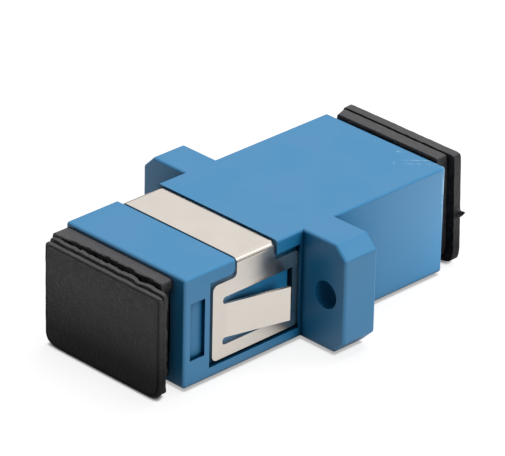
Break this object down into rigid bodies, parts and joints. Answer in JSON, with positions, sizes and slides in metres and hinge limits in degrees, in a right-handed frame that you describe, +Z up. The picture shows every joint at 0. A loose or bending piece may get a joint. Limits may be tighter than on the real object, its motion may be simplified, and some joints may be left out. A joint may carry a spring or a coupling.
{
  "type": "fibre optic adapter",
  "caption": "Flanged SC fibre-optic adapter: moulded housing with mounting ears, folded spring clip with bent-out tongues, latch hooks and split sleeve inside, pull-out dust plug in each port.",
  "frame": {"origin": "on the base, under the middle of the flange and of the port axis", "axes": "+Y along the port axis from the clip end to the plain end, +X across the ears, +Z up from the base"},
  "size_m": [0.022, 0.0326, 0.0092],
  "materials": {
    "blue_moulding": "satin moulded",
    "clip_sheet": "satin rolled",
    "latch_moulding": "moulded",
    "sleeve_ceramic": "polished",
    "black_plug": "dull, mottled"
  },
  "bodies": {
    "adapter": {"housing": "blue_moulding", "spring_clip": "clip_sheet", "latch_insert_front": "latch_moulding", "latch_insert_rear": "latch_moulding", "alignment_sleeve": "sleeve_ceramic"},
    "front_plug": {"dust_plug_front": "black_plug"},
    "rear_plug": {"dust_plug_rear": "black_plug"}
  },
  "joints": [
    {"name": "front_plug_pull", "type": "slide", "parent": "adapter", "child": "front_plug", "axis": [0, -1, 0], "range_m": [0, 0.015]},
    {"name": "rear_plug_pull", "type": "slide", "parent": "adapter", "child": "rear_plug", "axis": [0, 1, 0], "range_m": [0, 0.015]}
  ]
}
